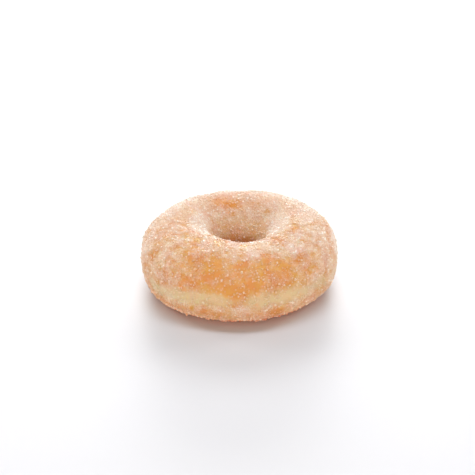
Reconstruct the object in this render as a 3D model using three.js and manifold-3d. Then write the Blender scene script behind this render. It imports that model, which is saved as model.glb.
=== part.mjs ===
import * as THREE from "three";
import { mergeVertices } from "three/addons/utils/BufferGeometryUtils.js";
import Module from "manifold-3d";

// A mini ring doughnut of raised yeast dough, fried on both sides and rolled in granulated sugar.
// It is one solid: a plump ring with a flat sole, a shallow pale waist where the dough rode above
// the oil, and the largest sugar crystals standing on its coat.
// Millimetres, +Z up. The origin is on the table under the middle of the ring, and the side that
// bulges most faces -Y and a little -X.

// Driving dimensions, over the sugar.
const WIDTH = 62;
const HEIGHT = 22.2;
const HOLE = 13.5;
const BELLY_HEIGHT = 9.9;
const HOLE_WALL_HEIGHT = 11.2;
const SOLE_WIDTH = 7.6;
const FULLNESS = 0.65; // handle length of each quarter of the section: 0.55 is an ellipse

// The baker's ring is never even. Each list goes round the ring from +X, in equal steps, and says
// how far that place is pushed: belly outwards, crest upwards, hole wall outwards, and the rim
// between the hole wall and the crest inwards and upwards. The rim is slack at the back, where the
// hole opens like a funnel.
const BELLY_SWELLS = [-0.1, 0.3, 0.2, -0.3, 0.1, 1.0, -0.2, -1.1];
const CREST_SWELLS = [0.4, 0.4, 0.2, -0.5, -0.2, -0.8];
const HOLE_SWELLS = [0.3, -0.2, 0.2, 0.4, -0.3];
const RIM_SWELLS = [-0.6, -2.3, -1.8, -2.3, -0.6, 0, -0.3, -0.1];
const RIM_RADIUS = 9.9;
const RIM_HEIGHT = 19.4;
const BELLY_REACH = 22;
const CREST_REACH = 18;
const HOLE_REACH = 9;
const RIM_REACH = 9;

// Lumps of the fried crust.
const LUMPS = 70;
const LUMP_REACH = [4, 9];
const LUMP_RISE = [-0.3, 0.35];

// The pale waist between the two fried faces, as heights on the outer wall. It rides higher at the
// front and the back than at the sides, and wavers on the way.
const WAIST_HEIGHT = 9.1;
const WAIST_HALF_WIDTH = 2.9;
const WAIST_RISE = 0.8;
const WAIST_WAVER = 0.4;
const WAIST_DEPTH = 0.3;

// The largest sugar crystals and crystal clumps.
const CRYSTALS = 215;
const CRYSTAL_SIZE = [0.65, 1.05];
const CRYSTAL_WIDTH_SHARE = [0.7, 0.95];
const CRYSTAL_THICKNESS_SHARE = [0.6, 0.85];
const CRYSTAL_SPACING = 3.8;
const CRYSTAL_SUNK = 0.38; // share of a crystal's size that lies below the coat
const WAIST_CRYSTAL_SHARE = 0.12;
const SOLE_CLEARANCE = 1.6; // no crystal stands lower than this, so that the sole stays flat

const RING_STEPS = 78;
const QUARTER_STEPS = 7;
const SOLE_STEPS = 2;
const UP = new THREE.Vector3(0, 0, 1);

const holeRadius = HOLE / 2;
const outerRadius = WIDTH / 2;
const crestRadius = (holeRadius + outerRadius) / 2;

// A repeatable random number from 0 to 1.
let seed = 20240607;
function random() {
  seed = (Math.imul(seed, 1664525) + 1013904223) >>> 0;
  return seed / 4294967296;
}

function between([low, high]) {
  return low + (high - low) * random();
}

// A direction in the table plane, a share of a turn round from +X.
function outwards(turn) {
  const angle = 2 * Math.PI * turn;
  return new THREE.Vector3(Math.cos(angle), Math.sin(angle), 0);
}

// The ring's section as x = radius and y = height. Four quarter curves run from the sole's outer
// edge over the belly, the crest and the hole wall to the sole's inner edge, each bent towards the
// corner that its two ends share, and the flat sole closes the section.
function sectionPoints() {
  const soleOut = new THREE.Vector2(crestRadius + SOLE_WIDTH / 2, 0);
  const soleIn = new THREE.Vector2(crestRadius - SOLE_WIDTH / 2, 0);
  const belly = new THREE.Vector2(outerRadius, BELLY_HEIGHT);
  const crest = new THREE.Vector2(crestRadius, HEIGHT);
  const holeWall = new THREE.Vector2(holeRadius, HOLE_WALL_HEIGHT);
  const quarters = [
    { from: soleOut, corner: new THREE.Vector2(outerRadius, 0), to: belly },
    { from: belly, corner: new THREE.Vector2(outerRadius, HEIGHT), to: crest },
    { from: crest, corner: new THREE.Vector2(holeRadius, HEIGHT), to: holeWall },
    { from: holeWall, corner: new THREE.Vector2(holeRadius, 0), to: soleIn },
  ];
  const points = [soleOut];
  for (const { from, corner, to } of quarters) {
    const handleOut = from.clone().lerp(corner, FULLNESS);
    const handleIn = to.clone().lerp(corner, FULLNESS);
    const curve = new THREE.CubicBezierCurve(from, handleOut, handleIn, to);
    points.push(...curve.getSpacedPoints(QUARTER_STEPS).slice(1));
  }
  for (let i = 1; i <= SOLE_STEPS; i++) {
    points.push(soleIn.clone().lerp(soleOut, i / SOLE_STEPS));
  }
  return points;
}

// The even ring, as an indexed mesh with merged vertices.
function evenRing() {
  const ring = new THREE.LatheGeometry(sectionPoints(), RING_STEPS);
  ring.rotateX(Math.PI / 2);
  ring.deleteAttribute("normal");
  ring.deleteAttribute("uv");
  return mergeVertices(ring, 1e-3);
}

// Moves the vertices within reach of a place, most at the place itself and smoothly less away from
// it. What lies on the table stays there.
function push(ring, place, move, reach) {
  const position = ring.getAttribute("position");
  const vertex = new THREE.Vector3();
  for (let i = 0; i < position.count; i++) {
    vertex.fromBufferAttribute(position, i);
    const nearness = 1 - vertex.distanceTo(place) / reach;
    if (nearness <= 0 || vertex.z < 1e-3) continue;
    const share = nearness * nearness * (3 - 2 * nearness);
    vertex.addScaledVector(move, share);
    position.setXYZ(i, vertex.x, vertex.y, Math.max(vertex.z, 0.02));
  }
}

// The swells that make this ring lean and bulge as it does.
function swell(ring) {
  BELLY_SWELLS.forEach((amount, i) => {
    const out = outwards(i / BELLY_SWELLS.length);
    const place = out.clone().multiplyScalar(outerRadius).addScaledVector(UP, BELLY_HEIGHT);
    push(ring, place, out.multiplyScalar(amount), BELLY_REACH);
  });
  CREST_SWELLS.forEach((amount, i) => {
    const out = outwards(i / CREST_SWELLS.length);
    const place = out.clone().multiplyScalar(crestRadius).addScaledVector(UP, HEIGHT);
    push(ring, place, UP.clone().multiplyScalar(amount), CREST_REACH);
  });
  HOLE_SWELLS.forEach((amount, i) => {
    const out = outwards(i / HOLE_SWELLS.length);
    const place = out.clone().multiplyScalar(holeRadius).addScaledVector(UP, HOLE_WALL_HEIGHT);
    push(ring, place, out.multiplyScalar(amount), HOLE_REACH);
  });
  RIM_SWELLS.forEach((amount, i) => {
    const out = outwards(i / RIM_SWELLS.length);
    const place = out.clone().multiplyScalar(RIM_RADIUS).addScaledVector(UP, RIM_HEIGHT);
    push(ring, place, UP.clone().sub(out).setLength(1).multiplyScalar(amount), RIM_REACH);
  });
}

// How far a place on the outer wall is inside the pale waist, from 0 at its edges to 1.
function waistAt(x, y, z) {
  if (Math.hypot(x, y) < crestRadius) return 0;
  const angle = Math.atan2(y, x);
  const middle = WAIST_HEIGHT - WAIST_RISE * Math.cos(2 * angle) - WAIST_WAVER * Math.cos(5 * angle);
  const inside = 1 - Math.abs(z - middle) / WAIST_HALF_WIDTH;
  return inside > 0 ? Math.min(1, 2 * inside) : 0;
}

// The waist's shallow dip, and small lumps scattered over the fried crust.
function relief(ring) {
  const position = ring.getAttribute("position");
  for (let i = 0; i < position.count; i++) {
    const place = new THREE.Vector3().fromBufferAttribute(position, i);
    const across = new THREE.Vector3(place.x, place.y, 0).normalize();
    place.addScaledVector(across, -WAIST_DEPTH * waistAt(place.x, place.y, place.z));
    position.setXYZ(i, place.x, place.y, place.z);
  }
  for (let i = 0; i < LUMPS; i++) {
    const spot = Math.floor(random() * position.count);
    const place = new THREE.Vector3().fromBufferAttribute(position, spot);
    const core = new THREE.Vector3(place.x, place.y, 0).setLength(crestRadius);
    core.z = BELLY_HEIGHT;
    const out = place.clone().sub(core).normalize();
    push(ring, place, out.multiplyScalar(between(LUMP_RISE)), between(LUMP_REACH));
  }
}

// Sets the ring on its origin: centred in plan, with its sole on the table.
function centre(ring) {
  ring.computeBoundingBox();
  const middle = ring.boundingBox.getCenter(new THREE.Vector3());
  ring.translate(-middle.x, -middle.y, -ring.boundingBox.min.z);
}

// The ring's triangles, each with the area of all triangles up to and with it.
function trianglesByArea(ring) {
  const position = ring.getAttribute("position");
  const triangles = [];
  let upTo = 0;
  for (let i = 0; i < ring.index.count; i += 3) {
    const triangle = new THREE.Triangle();
    triangle.setFromAttributeAndIndices(
      position,
      ring.index.getX(i),
      ring.index.getX(i + 1),
      ring.index.getX(i + 2),
    );
    upTo += triangle.getArea();
    triangles.push({ triangle, upTo });
  }
  return triangles;
}

// A random point of a triangle, any place on it as likely as any other.
function pointOn({ a, b, c }) {
  const fromA = Math.sqrt(random());
  const towardsC = random();
  return a.clone().multiplyScalar(1 - fromA)
    .addScaledVector(b, fromA * (1 - towardsC))
    .addScaledVector(c, fromA * towardsC);
}

// Places for crystals, even over the coat and few on the waist. A triangle is drawn by its area,
// then a point on it, and a point too close to an earlier one is drawn again.
function crystalPlaces(ring) {
  const triangles = trianglesByArea(ring);
  const wholeArea = triangles.at(-1).upTo;
  const places = [];
  while (places.length < CRYSTALS) {
    const drawn = random() * wholeArea;
    const { triangle } = triangles.find(({ upTo }) => upTo >= drawn);
    const point = pointOn(triangle);
    const kept = waistAt(point.x, point.y, point.z) < 0.5 || random() < WAIST_CRYSTAL_SHARE;
    const clear = places.every((other) => other.point.distanceTo(point) > CRYSTAL_SPACING);
    if (kept && clear && point.z > SOLE_CLEARANCE) {
      places.push({ point, normal: triangle.getNormal(new THREE.Vector3()) });
    }
  }
  return places;
}

// One sugar crystal: a small oblong block, turned at random and set into the coat.
function crystal({ point, normal }) {
  const size = between(CRYSTAL_SIZE);
  const width = size * between(CRYSTAL_WIDTH_SHARE);
  const thickness = size * between(CRYSTAL_THICKNESS_SHARE);
  const block = new THREE.BoxGeometry(size, width, thickness);
  const turn = new THREE.Euler(random() * Math.PI, random() * Math.PI, random() * Math.PI);
  const centreHeight = size * (0.5 - CRYSTAL_SUNK);
  const at = point.clone().addScaledVector(normal, centreHeight);
  block.applyMatrix4(new THREE.Matrix4().makeRotationFromEuler(turn).setPosition(at));
  return block;
}

// A closed geometry as a solid that can be joined, and back.
function solidOf(wasm, geometry) {
  const bare = geometry.clone();
  bare.deleteAttribute("normal");
  bare.deleteAttribute("uv");
  const merged = mergeVertices(bare, 1e-4);
  return new wasm.Manifold(
    new wasm.Mesh({
      numProp: 3,
      vertProperties: new Float32Array(merged.getAttribute("position").array),
      triVerts: new Uint32Array(merged.index.array),
    }),
  );
}

function geometryOf(solid) {
  const { vertProperties, triVerts } = solid.getMesh();
  const geometry = new THREE.BufferGeometry();
  geometry.setAttribute("position", new THREE.BufferAttribute(new Float32Array(vertProperties), 3));
  geometry.setIndex(new THREE.BufferAttribute(new Uint32Array(triVerts), 1));
  return geometry;
}

function doughnutGeometry(wasm) {
  const ring = evenRing();
  swell(ring);
  relief(ring);
  centre(ring);
  const blocks = crystalPlaces(ring).map(crystal);
  const solids = [ring, ...blocks].map((geometry) => solidOf(wasm, geometry));
  const flat = geometryOf(wasm.Manifold.union(solids)).toNonIndexed();
  flat.computeVertexNormals();
  return flat;
}

const wasm = await Module();
wasm.setup();

const sugaredCrust = new THREE.MeshStandardMaterial({ color: 0xe4b083, roughness: 0.75, metalness: 0 });
const ring = new THREE.Mesh(doughnutGeometry(wasm), sugaredCrust);
ring.name = "doughnut";

const doughnut = new THREE.Group();
doughnut.add(ring);

export default doughnut;
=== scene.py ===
# %% [markdown]
# # A mini sugar doughnut
# A small ring of raised yeast dough is fried on one face, turned, fried on the other and rolled
# in granulated sugar while it is warm. What the eye reads is the golden crust, the pale waist
# that rode above the oil, and thousands of sugar grains that catch the light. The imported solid
# gives the form. This lesson models the crust again with its fine relief, covers it with real
# grains, and lights it as in a bright food photograph.

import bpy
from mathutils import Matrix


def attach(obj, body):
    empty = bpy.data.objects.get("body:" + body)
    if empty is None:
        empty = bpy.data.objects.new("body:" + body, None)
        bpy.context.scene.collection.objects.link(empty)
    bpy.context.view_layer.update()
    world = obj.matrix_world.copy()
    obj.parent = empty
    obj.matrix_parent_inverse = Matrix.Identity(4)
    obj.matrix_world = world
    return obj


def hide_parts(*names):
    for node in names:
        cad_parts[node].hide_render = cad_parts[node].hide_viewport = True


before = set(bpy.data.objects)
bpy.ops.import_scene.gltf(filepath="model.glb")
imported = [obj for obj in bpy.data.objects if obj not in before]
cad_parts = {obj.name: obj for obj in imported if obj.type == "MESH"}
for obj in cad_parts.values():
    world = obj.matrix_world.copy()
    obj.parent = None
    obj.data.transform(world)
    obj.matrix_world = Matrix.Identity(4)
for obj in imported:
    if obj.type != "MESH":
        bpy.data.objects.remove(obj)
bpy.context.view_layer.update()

# %% [markdown]
# ## Units and small helpers
# Blender works in metres, and a doughnut is measured in millimetres, so sizes are written in
# millimetres and multiplied by `MM`. Operators act on all that is selected, so one helper
# deselects everything and selects the one object that is worked on next.

# %% Units and selection
import math

import bpy
from mathutils import Vector, noise

MM = 0.001


def work_on(piece):
    """Leaves the piece as the only selected object and the active one."""
    bpy.ops.object.select_all(action="DESELECT")
    piece.select_set(True)
    bpy.context.view_layer.objects.active = piece
    return piece


def added(name):
    """Names the object that an operator has just added, and its mesh or curve with it."""
    piece = bpy.context.object
    piece.name = name
    piece.data.name = name
    return work_on(piece)


def apply_modifiers(piece):
    """Turns what the piece's modifiers do into its own mesh."""
    work_on(piece)
    for modifier in list(piece.modifiers):
        bpy.ops.object.modifier_apply(modifier=modifier.name)


# %% [markdown]
# ## Camera
# The photograph looks down on the ring from a little under 27 degrees, from some 40 cm away with
# a long lens: the far edge of the ring looks hardly smaller than the near one. The camera aims at
# a point half way up the dough over the middle of the ring. A small shift of the lens sets
# the ring as high in the frame as the photograph has it, with no change of the perspective.

# %% Camera
ELEVATION = math.radians(26.6)
CAMERA_DISTANCE = 420 * MM
AIM = Vector((0, 0, 12 * MM))
FRAME_WIDTH_AT_AIM = 150.1 * MM
FRAME_PIXELS = 475
AIM_PIXEL = Vector((239.4, 248.8))

backwards = Vector((0, -math.cos(ELEVATION), math.sin(ELEVATION)))
bpy.ops.object.camera_add(location=AIM + CAMERA_DISTANCE * backwards)
camera = added("camera")
camera.rotation_euler = backwards.to_track_quat("Z", "Y").to_euler()
camera.data.sensor_width = 36
camera.data.lens = camera.data.sensor_width * CAMERA_DISTANCE / FRAME_WIDTH_AT_AIM
camera.data.shift_x = (FRAME_PIXELS / 2 - AIM_PIXEL.x) / FRAME_PIXELS
camera.data.shift_y = (AIM_PIXEL.y - FRAME_PIXELS / 2) / FRAME_PIXELS
bpy.context.scene.camera = camera
print("lens, mm:", round(camera.data.lens, 1))

# %% [markdown]
# ## The crust's section
# A baker's ring has the section of a plump, slightly flattened roll: a flat sole where it rests,
# a belly that stands out furthest below half height, a round crest and the wall of the hole. A
# torus has a round section and would need much pulling. A Bezier circle has four points, so one
# more is added by a subdivision and each is set on its place in the section, with handles that
# point at the corners between them. The longer the handles, the fuller the roll. The sugar has a
# thickness of its own, so the crust lies a quarter of a millimetre inside the solid.

# %% Section of the dough
WIDTH = 62
HEIGHT = 22.2
HOLE = 13.5
BELLY_HEIGHT = 9.9
HOLE_WALL_HEIGHT = 11.2
SOLE_WIDTH = 7.6
FULLNESS = 0.65
COAT = 0.25
SECTION_STEPS = 44
RING_STEPS = 400

hole_radius = HOLE / 2 + COAT
outer_radius = WIDTH / 2 - COAT
crest_radius = (hole_radius + outer_radius) / 2
crest_height = HEIGHT - COAT
sole_height = COAT


def section_point(radius, height):
    """A point of the section, given in millimetres from the hole's axis and from the table."""
    return Vector((radius * MM, 0, height * MM))


bpy.ops.curve.primitive_bezier_circle_add()
section = added("section")
bpy.ops.object.mode_set(mode="EDIT")
bpy.ops.curve.select_all(action="DESELECT")
for i in (0, -1):
    section.data.splines[0].bezier_points[i].select_control_point = True
bpy.ops.curve.subdivide()
bpy.ops.object.mode_set(mode="OBJECT")

sole_in = section_point(crest_radius - SOLE_WIDTH / 2, sole_height)
sole_out = section_point(crest_radius + SOLE_WIDTH / 2, sole_height)
hole_wall = section_point(hole_radius, HOLE_WALL_HEIGHT)
crest = section_point(crest_radius, crest_height)
belly = section_point(outer_radius, BELLY_HEIGHT)
knots = [sole_in, hole_wall, crest, belly, sole_out]
corners = [
    section_point(hole_radius, sole_height),
    section_point(hole_radius, crest_height),
    section_point(outer_radius, crest_height),
    section_point(outer_radius, sole_height),
    (sole_in + sole_out) / 2,
]
for i, point in enumerate(section.data.splines[0].bezier_points):
    point.handle_left_type = point.handle_right_type = "FREE"
    point.co = knots[i]
    point.handle_right = knots[i].lerp(corners[i], FULLNESS)
    point.handle_left = knots[i].lerp(corners[i - 1], FULLNESS)
section.data.resolution_u = SECTION_STEPS
bpy.ops.object.convert(target="MESH")
print("section points:", len(section.data.vertices))

# %% [markdown]
# ## Round the hole
# The section is carried once round the hole's axis. The Spin operator of edit mode does it, and
# so does the Screw modifier, which is much quicker with this many steps. A full turn closes on
# itself. Doubles are merged all the same, as after any spin, so that no seam can stay open, and
# the normals are then turned outwards.

# %% Ring of crust
screw = section.modifiers.new("round_the_hole", "SCREW")
screw.axis = "Z"
screw.steps = screw.render_steps = RING_STEPS
apply_modifiers(section)
crust = added("crust")
bpy.ops.object.mode_set(mode="EDIT")
bpy.ops.mesh.select_all(action="SELECT")
bpy.ops.mesh.remove_doubles(threshold=0.001 * MM)
bpy.ops.mesh.normals_make_consistent(inside=False)
bpy.ops.object.mode_set(mode="OBJECT")
print("crust faces:", len(crust.data.polygons))

# %% [markdown]
# ## The unevenness of a hand-made ring
# No two of these rings are alike: this one bulges at its front left and is slack at its front
# right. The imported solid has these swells, and its values are repeated here. Each swell is a
# move of one vertex with proportional editing, whose smooth falloff carries the dough round it
# along, as a thumb would. The four lists push the belly outwards, the crest upwards, the wall of
# the hole outwards, and the rim over that wall inwards and upwards. The rim is slack at the back,
# so the hole opens there like a funnel.

# %% Swells
BELLY_SWELLS = [-0.1, 0.3, 0.2, -0.3, 0.1, 1.0, -0.2, -1.1]
CREST_SWELLS = [0.4, 0.4, 0.2, -0.5, -0.2, -0.8]
HOLE_SWELLS = [0.3, -0.2, 0.2, 0.4, -0.3]
RIM_SWELLS = [-0.6, -2.3, -1.8, -2.3, -0.6, 0.0, -0.3, -0.1]
RIM_RADIUS = 9.9
RIM_HEIGHT = 19.4
BELLY_REACH = 22
CREST_REACH = 18
HOLE_REACH = 9
RIM_REACH = 9
UP = Vector((0, 0, 1))


def outwards(turn):
    """A direction in the table plane, a share of a turn round from +X."""
    return Vector((math.cos(math.tau * turn), math.sin(math.tau * turn), 0))


def push(place, move, reach):
    """Moves the crust's vertex that is nearest to a place, and what lies within reach of it."""
    bpy.ops.object.mode_set(mode="EDIT")
    bpy.ops.mesh.select_all(action="DESELECT")
    bpy.ops.object.mode_set(mode="OBJECT")
    nearest = min(crust.data.vertices, key=lambda vertex: (vertex.co - place * MM).length_squared)
    nearest.select = True
    bpy.ops.object.mode_set(mode="EDIT")
    bpy.ops.transform.translate(
        value=move * MM,
        use_proportional_edit=True,
        proportional_edit_falloff="SMOOTH",
        proportional_size=reach * MM,
    )
    bpy.ops.object.mode_set(mode="OBJECT")


for i, amount in enumerate(BELLY_SWELLS):
    out = outwards(i / len(BELLY_SWELLS))
    push(out * outer_radius + UP * BELLY_HEIGHT, out * amount, BELLY_REACH)
for i, amount in enumerate(CREST_SWELLS):
    out = outwards(i / len(CREST_SWELLS))
    push(out * crest_radius + UP * crest_height, UP * amount, CREST_REACH)
for i, amount in enumerate(HOLE_SWELLS):
    out = outwards(i / len(HOLE_SWELLS))
    push(out * hole_radius + UP * HOLE_WALL_HEIGHT, out * amount, HOLE_REACH)
for i, amount in enumerate(RIM_SWELLS):
    out = outwards(i / len(RIM_SWELLS))
    push(out * RIM_RADIUS + UP * RIM_HEIGHT, (UP - out).normalized() * amount, RIM_REACH)

# The swells have shifted the outline, so the ring is centred again and its sole is kept flat.
low_x, high_x = [pick(vertex.co.x for vertex in crust.data.vertices) for pick in (min, max)]
low_y, high_y = [pick(vertex.co.y for vertex in crust.data.vertices) for pick in (min, max)]
for vertex in crust.data.vertices:
    vertex.co.x -= (low_x + high_x) / 2
    vertex.co.y -= (low_y + high_y) / 2
    vertex.co.z = max(vertex.co.z, sole_height * MM)
print("crust, mm:", [round(size / MM, 2) for size in crust.dimensions])

# %% [markdown]
# ## Three maps on the crust
# Three maps lie on the crust's vertices, each from 0 to 1: how far a place is inside the pale
# waist, how red brown it is, and how much sugar sticks there. The red brown is fried colour, and
# low in the hole also painted glow; the sugar map also lays extra sugar along the outline as
# painted rim light. They could be painted by hand. Here they are worked out from the place itself,
# so that the relief, the finish and the grains all read the same maps. Three helpers do most of
# the work. A smooth step gives a zone a soft edge, and wander gives random lumps of a chosen size.
# A zone is a set of soft edges, each in one measure of the place, such as its height, with the
# value where the zone starts and the value where it is full.

# %% Soft edges and random lumps
LUMP_SCALE = 1.5  # how wide a lump is in the noise's own units
FADING = 1.0  # how fast the finer lumps get weaker
FINER = 2.0  # how much finer each layer of lumps is than the one before
OCTAVES = 2  # how many layers there are


def smooth_step(low, high, value):
    """Rises smoothly from 0 at low to 1 at high. It falls where low is above high."""
    share = min(1, max(0, (value - low) / (high - low)))
    return share * share * (3 - 2 * share)


def wander(place, size, lift=0):
    """Smooth random values of about -1 to 1 whose lumps are about size millimetres wide."""
    return noise.fractal((place + UP * lift) * (LUMP_SCALE / size), FADING, FINER, OCTAVES)


print("soft edge at its middle:", smooth_step(0, 1, 0.5))

# %% Zones
RUBBED_SIDE = outwards(0.76)  # the front, where fingers rubbed the sugar off
CROWN_RADIUS = 12.5  # millimetres from the hole's axis to where the funnel turns into the crest


def measured(place):
    """The measures that bound the zones: sizes in millimetres, and shares from -1 to 1."""
    radius = math.hypot(place.x, place.y)
    return {
        "height": place.z,
        "radius": radius,
        "off_crown": abs(radius - CROWN_RADIUS),
        "far_side": place.y,  # more than 0 in the ring's far half
        "facing": place.dot(RUBBED_SIDE) / radius,  # 1 in front and -1 at the back
        "sideways": abs(place.x) / radius,  # 0 in front and at the back, 1 at both sides
        "breadth": abs(place.x) / outer_radius,  # 0 in the middle, 1 at the left and right end
    }


def inside(zone, measures):
    """How far a place with these measures is inside a zone."""
    share = 1
    for name, (start, full) in zone.items():
        share *= smooth_step(start, full, measures[name])
        if share == 0:
            break
    return share


print("measures:", list(measured(Vector((outer_radius, 0, BELLY_HEIGHT)))))

# %% [markdown]
# ## The pale waist
# The ring floats while it fries, so the fat never reaches its waist. The waist is a band round the
# belly that rises and wavers on its way. It narrows at the left and right end, and brown dough
# reaches into it in a few places, most of all in front.

# %% Waist map
# The sizes are millimetres: how high the waist lies and how wide it is, how it rises and wavers
# on its way round, and how soft and ragged its edges are.
WAIST_HEIGHT = 9.1
WAIST_HALF_WIDTH = 2.5
WAIST_RISE = 0.8
WAIST_WAVER = 0.4
WAIST_WANDER = 0.7
WAIST_EDGE = 1.9
WAIST_EDGE_WANDER = 1.2
WAIST_ENDS = {"breadth": (0.8, 0.97)}
NARROWER_AT_ENDS = 1.6
NOTCHES = [
    # brown places: where on the crust, how far each reaches, and how much it narrows the waist
    (Vector((-1.5, -30, 12.5)), 7, 2.5),
    (Vector((1, -31, 9)), 6, 1.3),
    (Vector((-23.7, -19.9, 12)), 5, 2),
    (Vector((23.7, -19.9, 10.5)), 5, 1.5),
    (Vector((27.2, -13.8, 9.5)), 6, 2.2),
    (Vector((-27.6, -13.0, 8)), 6, 1.8),
]


def waist_at(place, measures):
    """How far a place in millimetres is inside the pale waist."""
    if measures["radius"] < crest_radius:
        return 0
    angle = math.atan2(place.y, place.x)
    middle = WAIST_HEIGHT - WAIST_RISE * math.cos(2 * angle) - WAIST_WAVER * math.cos(5 * angle)
    middle += WAIST_WANDER * wander(place, size=8)
    ragged = WAIST_EDGE_WANDER * wander(place, size=3, lift=50)
    depth = WAIST_HALF_WIDTH - abs(place.z - middle) + ragged
    depth -= NARROWER_AT_ENDS * inside(WAIST_ENDS, measures)
    for notch, reach, amount in NOTCHES:
        depth -= amount * smooth_step(reach, 0, (place - notch).length)
    return smooth_step(-WAIST_EDGE, WAIST_EDGE, depth)


places = [vertex.co / MM for vertex in crust.data.vertices]
all_measures = [measured(place) for place in places]
waist_map = [waist_at(*each) for each in zip(places, all_measures)]
print("mean waist:", round(sum(waist_map) / len(waist_map), 2))

# %% [markdown]
# ## The red brown places
# The ring went into the fat with its sole first, so the foot fried longest and is a redder brown
# than the rest. The low wall of the hole is redder too, partly fried and partly painted glow for
# the orange light that bounces inside the hole. The edge of the sole is hardly seen, but the floor
# beside it takes its warm tint from there. One bare patch behind the hole is redder too.

# %% Browning and glow map
BROWNED_AND_GLOW_ZONES = [
    # how red the brown is, and the zone
    (0.65, {"height": (3, 1.6)}),
    (1, {"height": (2.5, 1.5)}),
    # low in the hole: partly fried colour, partly painted glow of the orange light bouncing in the
    # hole
    (0.35, {"radius": (12, 9), "height": (14.5, 12)}),
]
BROWNED_PATCH = Vector((-4, 14.5, 21.3))
PATCH_EDGE = (7, 2)
PATCH_RED = 0.3


def browned_and_glow_at(place, measures):
    """How red brown a place in millimetres is: fried at the foot and on a patch, painted glow low
    in the hole.
    """
    patch = PATCH_RED * smooth_step(*PATCH_EDGE, (place - BROWNED_PATCH).length)
    return max(patch, *(red * inside(zone, measures) for red, zone in BROWNED_AND_GLOW_ZONES))


browned_and_glow_map = [browned_and_glow_at(*each) for each in zip(places, all_measures)]
print("mean browning:", round(sum(browned_and_glow_map) / len(browned_and_glow_map), 2))

# %% [markdown]
# ## The sugar
# A warm ring is rolled in sugar, shaken and picked up. The sugar lies thick on the crest and on
# the sides of the funnel. Extra sugar along the outline, on the shoulders at the back, the sides
# of the belly and the left and right ends, is painted rim light: its white stands for the light
# that shines through the backlit grains at the edge. It thins out on the front, where fingers
# held the ring, on the underside and low on the hole's far wall, and less of it sticks to the dry
# waist. Random lumps of three sizes make it uneven, but less so where it was rubbed or lies deep.
# Last come the bare patches that the eye picks out one by one, with ragged edges.

# %% Sugar zones
SUGAR_ZONES = {
    # each zone with the measures that bound it: the values where it starts and where it is full
    "rubbed": {"radius": (22, 27.5), "height": (6.5, 9), "facing": (0.45, 1)},
    "under": {"height": (7.5, 5)},
    "foot": {"height": (4, 2.5)},
    "sole_edge": {"height": (2.7, 1.5)},
    "back": {"facing": (0.2, -0.4)},
    "side": {"breadth": (0.4, 0.8)},
    "in_hole": {"radius": (crest_radius - 3, hole_radius + 1), "height": (20.5, 15)},
    "hole_base": {"radius": (crest_radius, hole_radius), "height": (15, 11), "far_side": (-4, 1)},
    "crown": {"off_crown": (4.5, 1.5), "height": (16, 19)},
    # The shoulder, brow and flank lie on the ring's outline; the sugar added there is painted rim
    # light.
    "shoulder": {"radius": (19.5, 23), "height": (14, 17), "facing": (0, -0.5)},
    "brow": {"radius": (27, 30.5), "height": (8, 11), "facing": (0.45, 0.1)},
    "flank": {"breadth": (0.8, 0.97), "height": (13, 10)},
}
SUGAR_ZONES["near_wall"] = {**SUGAR_ZONES["in_hole"], "far_side": (1, -4)}
SUGAR_ZONES["far_wall"] = {**SUGAR_ZONES["in_hole"], "far_side": (-4, 1)}
SUGAR_ZONES["funnel_side"] = {**SUGAR_ZONES["crown"], "sideways": (0.7, 1)}
print("sugar zones:", len(SUGAR_ZONES))

# %% Amounts of sugar
MEAN_SUGAR = 0.59
LEAST_SUGAR = 0.12
CLEAN_SOLE = (0.4, 0.9)
MORE_SUGAR = {
    # how much more sugar lies in a zone than elsewhere, or how much less
    "rubbed": -0.31,
    "under": -0.16,
    "foot": 0.12,
    "sole_edge": -0.5,
    "back": 0.1,
    "near_wall": 0.3,
    "far_wall": -0.24,
    "hole_base": -0.18,
    "funnel_side": 0.65,
}
# Extra sugar along the outline: its white is painted rim light for the backlit grains at the edge.
PAINTED_RIM_LIGHT_SUGAR = 0.42
PAINTED_RIM_LIGHT_SHARES = {"shoulder": 1.1, "brow": 1, "flank": 0.3}
BROW_OFF_WAIST = 0.8
RIGHT_SIDE_SUGAR = 0.06
SUGAR_LUMPS = [
    # how strong and how wide the lumps are, and a lift that makes each kind a pattern of its own
    (0.4, 7, 0),
    (0.45, 2.6, -30),
    (0.25, 1.3, 60),
]
EVENED_OUT = 0.65
EVENED_SHARES = {"rubbed": 1, "under": 1, "in_hole": 1.25, "back": 1.1, "side": 0.35}
CROWN_CLUMPS = 0.4
LACK_ON_WAIST = 0.4
print("kinds of lumps:", len(SUGAR_LUMPS))

# %% Bare patches
RAGGEDNESS = 0.45
BARE_HEART = 0.2  # share of a bare patch's reach that is as bare as the patch gets
BARE_PATCHES = [
    # place on the crust in mm, how far the bare patch reaches, and how much sugar it lacks
    (Vector((-5.6, 14.7, 21.3)), 5.0, 0.34),
    (Vector((-0.6, 14.0, 21.3)), 4.0, 0.3),
    (Vector((10.8, -28.1, 5.1)), 3.5, 0.3),
    (Vector((-11.9, -28.8, 6.2)), 4.0, 0.2),
    (Vector((0.5, -26.5, 20.1)), 3.0, 0.3),
    (Vector((-9.7, -27.4, 17.9)), 4.0, 0.1),
    (Vector((3.6, -30.2, 14.4)), 4.5, 0.15),
    (Vector((-12.4, -28.5, 14.1)), 3.5, 0.15),
    (Vector((13.4, -24.2, 18.6)), 3.5, 0.15),
    (Vector((8.5, -25.5, 19.5)), 4.0, 0.1),
    (Vector((-26.2, -14.0, 17.5)), 4.0, 0.15),
    (Vector((27.0, -14.2, 10.5)), 5.0, 0.25),
    (Vector((-28.0, -12.4, 10.0)), 5.0, 0.12),
]
print("bare patches:", len(BARE_PATCHES))


# %% Sugar map
def most(shares, zones):
    """The largest of some zones' values, each times its share."""
    return max(share * zones[name] for name, share in shares.items())


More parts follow.
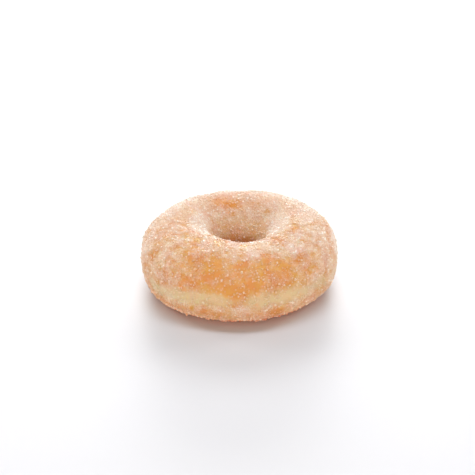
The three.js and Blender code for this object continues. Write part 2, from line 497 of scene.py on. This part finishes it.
def sugar_and_rim_light_at(place, measures, waist):
    """How thickly the sugar lies at a place in millimetres, with extra along the outline as painted
    rim light.
    """
    zones = {name: inside(zone, measures) for name, zone in SUGAR_ZONES.items()}
    zones["brow"] *= 1 - BROW_OFF_WAIST * waist * zones["back"]
    lumps = sum(strength * wander(place, size, lift) for strength, size, lift in SUGAR_LUMPS)
    thick = MEAN_SUGAR + (1 - EVENED_OUT * most(EVENED_SHARES, zones)) * lumps
    thick += sum(more * zones[name] for name, more in MORE_SUGAR.items())
    thick += CROWN_CLUMPS * zones["crown"] * wander(place, size=4, lift=-90)
    # Painted rim light: extra sugar along the outline.
    thick += PAINTED_RIM_LIGHT_SUGAR * most(PAINTED_RIM_LIGHT_SHARES, zones)
    thick += RIGHT_SIDE_SUGAR * place.x / outer_radius
    ragged = 1 + RAGGEDNESS * wander(place, size=3, lift=90)
    for middle, reach, lack in BARE_PATCHES:
        thick -= lack * smooth_step(reach, BARE_HEART * reach, (place - middle).length * ragged)
    thick = min(1, max(LEAST_SUGAR, thick * (1 - LACK_ON_WAIST * waist)))
    return thick * smooth_step(*CLEAN_SOLE, place.z)


sugar_and_rim_light_map = [sugar_and_rim_light_at(*each) for each in zip(places, all_measures, waist_map)]
print("mean sugar:", round(sum(sugar_and_rim_light_map) / len(sugar_and_rim_light_map), 2))

# %% [markdown]
# ## Keeping the maps
# Each map becomes an attribute of the mesh, one number for each vertex. The finish reads it in an
# Attribute node, the scattering reads it in Geometry Nodes, and the grains take it along.

# %% Maps as attributes
for name, values in {"waist": waist_map, "browned_and_glow": browned_and_glow_map, "sugar": sugar_and_rim_light_map}.items():
    stored = crust.data.attributes.new(name, "FLOAT", "POINT")
    stored.data.foreach_set("value", values)
print("maps:", [name for name in ("waist", "browned_and_glow", "sugar") if name in crust.data.attributes])

# %% [markdown]
# ## Relief of the crust
# Frying blisters and wrinkles the skin: low lumps some 7 mm across, wrinkles of 1 to 2 mm and
# smaller pores, and a waist that stays a little behind the two fried faces. Sculpting would do it
# by hand. Displace modifiers with cloud textures give the same kind of random relief from a few
# sizes. Vertex groups keep it off the sole, which lies flat, and keep the waist almost free of
# wrinkles.

# %% Vertex groups for the relief
FLAT_SOLE = (0.3, 1.5)
SMOOTH_WAIST = 0.8

group_names = ("above_sole", "waist_band", "fried")
groups = {name: crust.vertex_groups.new(name=name) for name in group_names}
for i, (place, waist) in enumerate(zip(places, waist_map)):
    lifted = smooth_step(*FLAT_SOLE, place.z - sole_height)
    groups["above_sole"].add([i], lifted, "REPLACE")
    groups["waist_band"].add([i], waist, "REPLACE")
    groups["fried"].add([i], lifted * (1 - SMOOTH_WAIST * waist), "REPLACE")
print("vertex groups:", [group.name for group in crust.vertex_groups])

# %% Relief
def add_relief(name, group, strength, size=None, middle=0.5):
    """Displaces the crust along its normals, by cloud lumps of a size or evenly, in millimetres."""
    relief = crust.modifiers.new(name, "DISPLACE")
    relief.vertex_group = group
    relief.strength = strength * MM
    relief.mid_level = middle
    if size:
        clouds = bpy.data.textures.new(name, "CLOUDS")
        clouds.noise_scale = size * MM
        clouds.noise_depth = 2
        relief.texture = clouds
        relief.texture_coords = "LOCAL"


add_relief("waist_dip", "waist_band", -0.3, middle=0)
add_relief("lumps", "above_sole", 0.9, size=7)
add_relief("wrinkles", "fried", 0.35, size=1.7)
add_relief("pores", "above_sole", 0.12, size=0.7)
apply_modifiers(crust)
for vertex in crust.data.vertices:
    vertex.co.z = max(vertex.co.z, sole_height * MM)
bpy.ops.object.shade_smooth()
print("crust with relief, mm:", [round(size / MM, 2) for size in crust.dimensions])

# %% [markdown]
# ## One sugar grain
# Granulated sugar is made of small bevelled blocks, grown as single crystals and tumbled against
# each other, a third to two thirds of a millimetre across. The grain is modelled once, one unit
# long: a cube is stretched to an oblong block, planes cut some of its corners off, and the coarse
# grain gets bevelled edges too. There are four models, and the smaller the grain, the plainer its
# model, because a grain that is repeated thousands of times can only have a few faces.

# %% Grains
def make_grain(name, proportions, cuts, bevel=0.0):
    """A sugar crystal about one unit long, with corners cut off by planes."""
    bpy.ops.mesh.primitive_cube_add(size=1)
    grain = added(name)
    bpy.ops.object.mode_set(mode="EDIT")
    bpy.ops.mesh.select_all(action="SELECT")
    bpy.ops.transform.resize(value=proportions)
    for facing, distance in cuts:
        bpy.ops.mesh.select_all(action="SELECT")
        plane_normal = Vector(facing).normalized()
        bpy.ops.mesh.bisect(
            plane_co=plane_normal * distance,
            plane_no=plane_normal,
            use_fill=True,
            clear_outer=True,
        )
    if bevel:
        bpy.ops.mesh.select_all(action="SELECT")
        bpy.ops.mesh.bevel(offset=bevel, offset_type="OFFSET", segments=1, affect="EDGES")
    bpy.ops.mesh.select_all(action="SELECT")
    bpy.ops.mesh.quads_convert_to_tris()
    bpy.ops.object.mode_set(mode="OBJECT")
    print(name, "triangles:", len(grain.data.polygons))
    return grain


coarse_grain = make_grain(
    "coarse_grain",
    (1.0, 0.82, 0.7),
    [((1, 1, 1), 0.55), ((-1, -0.6, 0.8), 0.52)],
    bevel=0.06,
)
medium_grain = make_grain("medium_grain", (1.0, 0.8, 0.72), [((1, 1, 1), 0.56)])
fine_grain = make_grain("fine_grain", (1.0, 0.85, 0.7), [])
splinter = make_grain("splinter", (1.3, 1.0, 0.8), [((1, 1.2, 0), 0.0)])

# %% [markdown]
# ## Nodes
# The scattering and the finishes are both node trees. One small function adds a node with its
# settings and its inputs. A value is set on the input itself, and another node's output is linked
# to it. The inputs are given by name, or as a list in the order in which the node has them.

# %% Node helper
def set_inputs(tree, node, inputs):
    """Sets values on a node's inputs, and links what comes from another node."""
    for socket, value in inputs.items() if isinstance(inputs, dict) else enumerate(inputs):
        if isinstance(value, bpy.types.NodeSocket):
            tree.links.new(value, node.inputs[socket])
        else:
            node.inputs[socket].default_value = value


def add_node(tree, kind, inputs=(), **settings):
    """Adds a node with its settings, its values and its links."""
    node = tree.nodes.new(kind)
    for name, value in settings.items():
        setattr(node, name, value)
    set_inputs(tree, node, inputs)
    return node


# %% [markdown]
# ## Grains on the crust
# A particle system could scatter the grains, but only real mesh goes with the exported part.
# Geometry Nodes do it: points are spread over the crust, no two of them closer than about the
# width of a grain, and fewer where the sugar map is low. At each point stands a grain, turned and
# sized at random and sunk into the sticky crust by a random share. The grains are then made real
# and the modifier is applied. Each kind of grain is one piece. Two numbers go with the grains for
# their finish: a random tint, the same all over a grain, and how far each corner is from the
# crust.

# %% Points for the grains
CROWDING = 1.6  # points that are tried on each square as wide as the spacing


def points_on_crust(tree, crust_mesh, size, spacing, share, seed, least_sugar, rise):
    """Spreads points over the crust where the sugar map allows them, and lifts or sinks each."""
    sugar = add_node(tree, "GeometryNodeInputNamedAttribute", {"Name": "sugar"})
    density = add_node(tree, "ShaderNodeMapRange", [sugar.outputs[0], least_sugar, 1, 0, share])
    points = add_node(
        tree,
        "GeometryNodeDistributePointsOnFaces",
        {
            "Mesh": crust_mesh,
            "Distance Min": spacing * MM,
            "Density Max": CROWDING / (spacing * MM) ** 2,
            "Density Factor": density.outputs[0],
            "Seed": seed,
        },
        distribute_method="POISSON",
    )
    height = add_node(
        tree,
        "FunctionNodeRandomValue",
        {"Min": rise[0] * size[1] * MM, "Max": rise[1] * size[1] * MM, "Seed": seed + 1},
        data_type="FLOAT",
    )
    offset = add_node(
        tree,
        "ShaderNodeVectorMath",
        {0: points.outputs["Normal"], "Scale": height.outputs[1]},
        operation="SCALE",
    )
    lifted = add_node(
        tree,
        "GeometryNodeSetPosition",
        {"Geometry": points.outputs["Points"], "Offset": offset.outputs[0]},
    )
    return lifted.outputs[0]


# %% Grains on the points
def grains_on_points(tree, points, grain, size, seed):
    """Stands a grain on each point, turned and sized at random, and gives it a random tint."""
    model = add_node(tree, "GeometryNodeObjectInfo", {"Object": grain})
    turn = add_node(
        tree,
        "FunctionNodeRandomValue",
        {"Max": (math.tau, math.tau, math.tau), "Seed": seed + 2},
        data_type="FLOAT_VECTOR",
    )
    grown = add_node(
        tree,
        "FunctionNodeRandomValue",
        {"Min": size[0] * MM, "Max": size[1] * MM, "Seed": seed + 3},
        data_type="FLOAT",
    )
    grains = add_node(
        tree,
        "GeometryNodeInstanceOnPoints",
        {
            "Points": points,
            "Instance": model.outputs["Geometry"],
            "Rotation": turn.outputs[0],
            "Scale": grown.outputs[1],
        },
    )
    chance = add_node(tree, "FunctionNodeRandomValue", {"Seed": seed + 4}, data_type="FLOAT")
    tinted = add_node(
        tree,
        "GeometryNodeStoreNamedAttribute",
        {"Geometry": grains.outputs[0], "Name": "tint", "Value": chance.outputs[1]},
        data_type="FLOAT",
        domain="INSTANCE",
    )
    real = add_node(tree, "GeometryNodeRealizeInstances", {"Geometry": tinted.outputs[0]})
    return real.outputs[0]


# %% Scatter the grains
def scatter(name, grain, size, spacing, share, seed, least_sugar, rise=(-0.1, 0.35)):
    """Covers the crust with one kind of grain: sizes and spacing in mm, share of full density."""
    tree = bpy.data.node_groups.new(name, "GeometryNodeTree")
    tree.interface.new_socket("Geometry", in_out="INPUT", socket_type="NodeSocketGeometry")
    tree.interface.new_socket("Geometry", in_out="OUTPUT", socket_type="NodeSocketGeometry")
    crust_mesh = add_node(tree, "NodeGroupInput").outputs[0]
    points = points_on_crust(tree, crust_mesh, size, spacing, share, seed, least_sugar, rise)
    grains = grains_on_points(tree, points, grain, size, seed)
    to_crust = add_node(
        tree, "GeometryNodeProximity", {"Geometry": crust_mesh}, target_element="FACES"
    )
    standing = add_node(
        tree,
        "GeometryNodeStoreNamedAttribute",
        {"Geometry": grains, "Name": "height", "Value": to_crust.outputs["Distance"]},
        data_type="FLOAT",
        domain="POINT",
    )
    add_node(tree, "NodeGroupOutput", [standing.outputs[0]])

    work_on(crust)
    bpy.ops.object.duplicate()
    sugar_piece = added(name)
    sugar_piece.modifiers.new("scatter", "NODES").node_group = tree
    apply_modifiers(sugar_piece)
    for vertex in sugar_piece.data.vertices:
        vertex.co.z = max(vertex.co.z, 0)
    print(name, "triangles:", len(sugar_piece.data.polygons))
    return sugar_piece


sugar_pieces = [
    scatter("sugar_coarse", coarse_grain, (0.55, 0.8), 0.9, 0.35, seed=11, least_sugar=0.1),
    scatter("sugar_medium", medium_grain, (0.4, 0.6), 0.5, 0.65, seed=23, least_sugar=-0.2),
    scatter("sugar_fine", fine_grain, (0.3, 0.42), 0.38, 0.6, seed=37, least_sugar=-0.1),
    scatter("sugar_small", splinter, (0.22, 0.32), 0.3, 0.65, seed=53, least_sugar=0.2),
    scatter("sugar_dust", splinter, (0.15, 0.24), 0.28, 0.5, 71, 0.1, rise=(-0.1, 0.9)),
]
for grain in (coarse_grain, medium_grain, fine_grain, splinter):
    bpy.data.objects.remove(grain)

# %% [markdown]
# ## Colour of the dough
# Fried yeast dough has a thin skin, browned by the milk, egg and sugar in it, over a cream crumb.
# It is golden on some lumps and russet on others, cream on the waist and red brown at the foot.
# It could be painted. Here noise in the doughnut's own coordinates tells golden from russet, so
# that it stays on the dough from every side, and the maps on the crust do the rest. The crust
# and the grains both ask for this colour, because a grain takes some of it from below.

# %% Colours
def linear(code):
    """An sRGB hex colour as the linear red, green, blue and alpha that sockets take."""
    values = [int(code[i : i + 2], 16) / 255 for i in (1, 3, 5)]
    turned = [v / 12.92 if v <= 0.04045 else ((v + 0.055) / 1.055) ** 2.4 for v in values]
    return (*turned, 1.0)


GOLDEN = linear("#DAA350")
RUSSET = linear("#D79353")
WAIST_CREAM = linear("#E0CEA9")
RED_BROWN = linear("#E07636")
SUGAR_WHITE = linear("#F7F6F2")
print("golden, linear:", [round(value, 3) for value in GOLDEN])

# %% Dough colour
RUSSET_LUMPS = 5 * MM
RUSSET_FROM = 0.35
RUSSET_FULL = 0.65
PALENESS_OF_WAIST = 0.85


def dough_colour(tree, coordinates):
    """The dough's colour: golden and russet lumps, a red brown foot, painted red glow low in the
    hole and a cream waist.
    """
    lumps = add_node(
        tree,
        "ShaderNodeTexNoise",
        {"Vector": coordinates, "Scale": 1 / RUSSET_LUMPS, "Detail": 2},
    )
    russet = add_node(
        tree, "ShaderNodeMapRange", [lumps.outputs["Fac"], RUSSET_FROM, RUSSET_FULL, 0, 1]
    )
    browned_and_glow = add_node(tree, "ShaderNodeAttribute", attribute_name="browned_and_glow")
    waist = add_node(tree, "ShaderNodeAttribute", attribute_name="waist")
    pale = add_node(
        tree, "ShaderNodeMapRange", [waist.outputs["Fac"], 0, 1, 0, PALENESS_OF_WAIST]
    )
    # A Mix node has its share on input 0, its two colours on 6 and 7 and the mix on output 2.
    colour = GOLDEN
    for share, other in (
        (russet.outputs[0], RUSSET),
        (browned_and_glow.outputs["Fac"], RED_BROWN),
        (pale.outputs[0], WAIST_CREAM),
    ):
        mix = add_node(tree, "ShaderNodeMix", {0: share, 6: colour, 7: other}, data_type="RGBA")
        colour = mix.outputs[2]
    return colour


# %% [markdown]
# ## Finish of the crust
# The frying fat leaves the skin faintly glossy, with the IOR of fat, about 1.45. Light goes some
# 3 mm into the crumb, red the furthest, so the dough glows a little in its own shadow. Fine sugar
# dust fills the gaps between the grains as a white film with holes in it. The dust's own grains
# are a tenth of a millimetre and too fine to show, so the film is drawn with lumps of a third of
# a millimetre. The finest wrinkles of the skin are drawn coarser in the same way.

# %% Material helper
def new_material(name):
    """An empty material, with its node tree, its Principled shader and its object coordinates."""
    material = bpy.data.materials.new(name)
    material.use_nodes = True
    tree = material.node_tree
    coordinates = add_node(tree, "ShaderNodeTexCoord").outputs["Object"]
    return material, tree, tree.nodes["Principled BSDF"], coordinates


# %% Crust material
# The four numbers of a Map Range are the values between which it works, and what it gives there.
DUST_LUMPS = 0.35 * MM
DUST_HOLES = (0.4, 0.6, 0.35, 1)
DUST_COVER = (0.2, 0.85, 0, 0.92)
SKIN_WRINKLES = 0.4 * MM
SKIN_DEPTH = 0.2 * MM
LIGHT_REACH = 3 * MM

# Dough fried in fat: a satin skin over a crumb that glows.
fried_dough, tree, shader, coordinates = new_material("fried_yeast_dough")
sugar = add_node(tree, "ShaderNodeAttribute", attribute_name="sugar")
dust = add_node(
    tree, "ShaderNodeTexNoise", {"Vector": coordinates, "Scale": 1 / DUST_LUMPS, "Detail": 1}
)
holes = add_node(tree, "ShaderNodeMapRange", [dust.outputs["Fac"], *DUST_HOLES])
cover = add_node(tree, "ShaderNodeMapRange", [sugar.outputs["Fac"], *DUST_COVER])
film = add_node(
    tree, "ShaderNodeMath", [holes.outputs[0], cover.outputs[0]], operation="MULTIPLY"
)
dusted = add_node(
    tree,
    "ShaderNodeMix",
    {0: film.outputs[0], 6: dough_colour(tree, coordinates), 7: SUGAR_WHITE},
    data_type="RGBA",
)
wrinkles = add_node(
    tree, "ShaderNodeTexNoise", {"Vector": coordinates, "Scale": 1 / SKIN_WRINKLES, "Detail": 3}
)
skin = add_node(
    tree, "ShaderNodeBump", {"Height": wrinkles.outputs["Fac"], "Distance": SKIN_DEPTH}
)
fried_finish = {
    "Base Color": dusted.outputs[2],
    "Roughness": 0.5,
    "IOR": 1.45,
    "Subsurface Weight": 0.7,
    "Subsurface Radius": (1.0, 0.35, 0.15),
    "Subsurface Scale": LIGHT_REACH,
    "Normal": skin.outputs[0],
}
set_inputs(tree, shader, fried_finish)
print("crust material, nodes:", len(tree.nodes))

# %% [markdown]
# ## Finish of the sugar
# Sugar crystals are clear, and a heap of them looks white, because light is bent and thrown back
# at their many faces. Clear grains of this size came out grey here. So each grain is opaque and
# takes a colour between white and the dough below it: whiter where the sugar lies thick, whiter
# at its top than at its foot, and whiter or clearer by its own random tint. Its gloss, with
# sugar's IOR of 1.54, gives it the sparkle.

# %% Sugar material
CLEAR_OR_WHITE = (0.3, 1, 0, 0.4)
WHITE_TOP = (0.2, 1, 0.2, 0.67)
WHITE_FOOT = (0.2, 0.9, 0, 0.45)
FOOT_HEIGHT = 0.4 * MM

# Granulated sugar: bright broken sparkle on small flat faces.
granulated_sugar, tree, shader, coordinates = new_material("granulated_sugar_crystals")
below = dough_colour(tree, coordinates)
tint = add_node(tree, "ShaderNodeAttribute", attribute_name="tint")
height = add_node(tree, "ShaderNodeAttribute", attribute_name="height")
sugar = add_node(tree, "ShaderNodeAttribute", attribute_name="sugar")
own = add_node(tree, "ShaderNodeMapRange", [tint.outputs["Fac"], *CLEAR_OR_WHITE])
top = add_node(tree, "ShaderNodeMapRange", [sugar.outputs["Fac"], *WHITE_TOP])
foot = add_node(tree, "ShaderNodeMapRange", [sugar.outputs["Fac"], *WHITE_FOOT])
raised = add_node(tree, "ShaderNodeMapRange", [height.outputs["Fac"], 0, FOOT_HEIGHT, 0, 1])
whiter = add_node(tree, "ShaderNodeMath", [own.outputs[0], top.outputs[0]], operation="ADD")
crystal_foot, crystal_top = [
    add_node(
        tree,
        "ShaderNodeMix",
        {0: whiteness.outputs[0], 6: below, 7: SUGAR_WHITE},
        data_type="RGBA",
    )
    for whiteness in (foot, whiter)
]
crystal = add_node(
    tree,
    "ShaderNodeMix",
    {0: raised.outputs[0], 6: crystal_foot.outputs[2], 7: crystal_top.outputs[2]},
    data_type="RGBA",
)
set_inputs(tree, shader, {"Base Color": crystal.outputs[2], "Roughness": 0.4, "IOR": 1.54})
print("sugar material, nodes:", len(tree.nodes))

# %% [markdown]
# ## Dressing the solid
# The crust and the five kinds of grain take the place of the imported solid. They all lie still on
# its one body.

# %% Dress the pieces
crust.data.materials.append(fried_dough)
for piece in sugar_pieces:
    piece.data.materials.clear()
    piece.data.materials.append(granulated_sugar)
for piece in [crust, *sugar_pieces]:
    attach(piece, "root")
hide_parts("doughnut")
print("pieces:", [piece.name for piece in [crust, *sugar_pieces]])

# %% [markdown]
# ## Table and light
# The ring lies on a smooth white tabletop in a bright studio, and a white surround lights it from
# everywhere. Two softboxes behind it draw the soft grey shadow towards the camera, a narrow cool
# one overhead gives the belly its own short shadow, and one at each side shapes the flanks. A
# photographer would then throw light back with reflectors. Here low cards at the sides and a card
# and a wide softbox in front do it. The front ones are warm, as gold reflectors are, and keep the
# shaded side of the dough golden.

# %% Tabletop
# White lacquer on board: a pale, nearly matt floor with a faint, blurred reflection.
bpy.ops.mesh.primitive_plane_add(size=4)
tabletop = added("tabletop")
white_board, tree, shader, _ = new_material("white_lacquered_board")
set_inputs(tree, shader, {"Base Color": linear("#CFCFD2"), "Roughness": 0.45, "IOR": 1.4})
tabletop.data.materials.append(white_board)
print("tabletop, m:", [round(size, 2) for size in tabletop.dimensions])

# %% Lights
WHITE = (1, 1, 1)
COOL = (0.76, 0.88, 1)
WARM = (1, 0.75, 0.53)
LAMPS = [
    # name, azimuth (0 behind the ring, 90 at its right), elevation, distance, size, watts, colour
    ("back_softbox", 0, 32, 2.4, (2.4, 0.65), 22, WHITE),
    ("low_back_softbox", 0, 10, 2.4, (1.4, 0.7), 42, WHITE),
    ("top_softbox", 0, 84, 2.4, (1.6, 0.35), 27, COOL),
    ("front_card", 180, 6, 0.8, (1.4, 0.12), 1.5, WARM),
    ("front_softbox", 180, 25, 1.5, (1.7, 0.5), 11.9, WARM),
    ("left_softbox", -60, 29, 2.4, (0.7, 0.9), 13, WHITE),
    ("left_card", -100, 8, 1.5, (0.6, 0.3), 1.4, WHITE),
    ("right_softbox", 60, 29, 2.4, (0.7, 0.9), 13, WHITE),
    ("right_card", 100, 8, 1.5, (0.6, 0.3), 1.4, WHITE),
]


def add_softbox(name, azimuth, elevation, distance, size, watts, colour):
    """A rectangular lamp that faces the ring, with its angles in degrees and sizes in metres."""
    bpy.ops.object.light_add(type="AREA")
    lamp = added(name)
    turn = math.radians(azimuth)
    rise = math.radians(elevation)
    level = math.cos(rise)
    towards = Vector((math.sin(turn) * level, math.cos(turn) * level, math.sin(rise)))
    lamp.location = AIM + towards * distance
    lamp.rotation_euler = towards.to_track_quat("Z", "Y").to_euler()
    lamp.data.shape = "RECTANGLE"
    lamp.data.size, lamp.data.size_y = size
    lamp.data.energy = watts
    lamp.data.color = colour
    return lamp


lamps = [add_softbox(*lamp) for lamp in LAMPS]
print("lamps:", len(lamps), "watts in all:", round(sum(lamp.data.energy for lamp in lamps), 1))

# %% Surround
SURROUND_STRENGTH = 0.335
BOUNCES = 12  # light that goes in and out between the grains keeps the sugar bright

world = bpy.data.worlds.new("white_studio")
world.use_nodes = True
surround = world.node_tree.nodes["Background"]
set_inputs(world.node_tree, surround, {"Color": (1, 1, 1, 1), "Strength": SURROUND_STRENGTH})
bpy.context.scene.world = world
bpy.context.scene.cycles.diffuse_bounces = BOUNCES
bpy.context.scene.view_settings.view_transform = "Standard"
print("surround:", SURROUND_STRENGTH)
